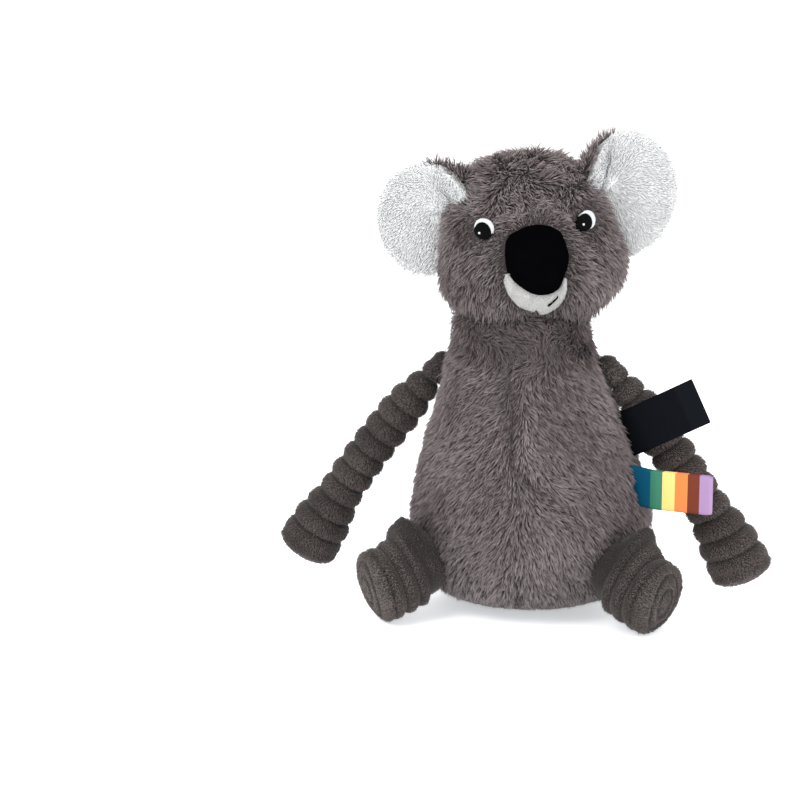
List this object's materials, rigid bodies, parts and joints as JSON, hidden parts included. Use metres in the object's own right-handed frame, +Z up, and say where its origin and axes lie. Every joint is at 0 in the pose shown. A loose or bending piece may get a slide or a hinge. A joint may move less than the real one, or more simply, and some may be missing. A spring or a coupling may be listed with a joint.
{
  "type": "plush koala",
  "caption": "Seated plush koala with pear-shaped fur body, large head, velvet nose, cupped white-lined ears, ribbed corduroy arms and legs, bare label and striped ribbon tab.",
  "frame": {"origin": "centre of the flat seat, on the surface that the toy sits on", "axes": "+Z up, -Y straight ahead of the body, +X towards the toy's own left"},
  "size_m": [0.3241, 0.1691, 0.3068],
  "materials": {
    "grey_fur": "long flowing plush pile, matt",
    "grey_corduroy": "wide-rib corduroy with short soft pile",
    "white_plush": "short white plush",
    "black_velvet": "black velvet, matt",
    "white_felt": "white plush felt",
    "black_thread": "black embroidery thread, slight sheen",
    "white_thread": "white embroidery thread, slight sheen",
    "fibre_filling": "loose polyester fibre",
    "pellet_cloth": "plain woven cloth",
    "black_satin": "smooth woven satin",
    "striped_ribbon": "printed grosgrain ribbon with stripes across it"
  },
  "bodies": {
    "torso": {"torso_front_left": "grey_fur", "torso_back_left": "grey_fur", "torso_back_right": "grey_fur", "torso_front_right": "grey_fur", "torso_base": "grey_fur", "torso_stuffing": "fibre_filling", "pellet_bag": "pellet_cloth", "woven_label": "black_satin", "ribbon_tab": "striped_ribbon"},
    "head": {"head_crown": "grey_fur", "head_left_side": "grey_fur", "head_right_side": "grey_fur", "head_stuffing": "fibre_filling", "nose": "black_velvet", "lower_lip": "white_felt", "mouth_stitch": "black_thread", "left_eye_black": "black_thread", "left_eye_white": "white_thread", "right_eye_black": "black_thread", "right_eye_white": "white_thread", "left_ear_inner": "white_plush", "left_ear_back": "grey_fur", "right_ear_inner": "white_plush", "right_ear_back": "grey_fur"},
    "left_arm": {"left_arm_front": "grey_corduroy", "left_arm_back": "grey_corduroy", "left_arm_stuffing": "fibre_filling"},
    "right_arm": {"right_arm_front": "grey_corduroy", "right_arm_back": "grey_corduroy", "right_arm_stuffing": "fibre_filling"},
    "left_leg": {"left_leg_inner": "grey_corduroy", "left_leg_outer": "grey_corduroy", "left_leg_stuffing": "fibre_filling"},
    "right_leg": {"right_leg_inner": "grey_corduroy", "right_leg_outer": "grey_corduroy", "right_leg_stuffing": "fibre_filling"}
  },
  "joints": [
    {"name": "neck_turn", "type": "hinge", "parent": "torso", "child": "head", "pos_m": [0, 0, 0.19], "axis": [0, 0, 1], "range_deg": [-30, 30], "stiffness_Nm_per_rad": 0.05},
    {"name": "left_shoulder", "type": "hinge", "parent": "torso", "child": "left_arm", "pos_m": [0.05627, 0, 0.15879], "axis": [-0.9633, 0, -0.2683], "range_deg": [-60, 100], "deforming": ["woven_label", "ribbon_tab"]},
    {"name": "right_shoulder", "type": "hinge", "parent": "torso", "child": "right_arm", "pos_m": [-0.05627, 0, 0.15879], "axis": [-0.9633, 0, 0.2683], "range_deg": [-60, 100]},
    {"name": "left_hip", "type": "hinge", "parent": "torso", "child": "left_leg", "pos_m": [0.06606, -0.0535, 0.03346], "axis": [-1, 0, 0], "range_deg": [-25, 60]},
    {"name": "right_hip", "type": "hinge", "parent": "torso", "child": "right_leg", "pos_m": [-0.06606, -0.0535, 0.03346], "axis": [-1, 0, 0], "range_deg": [-25, 60]}
  ]
}
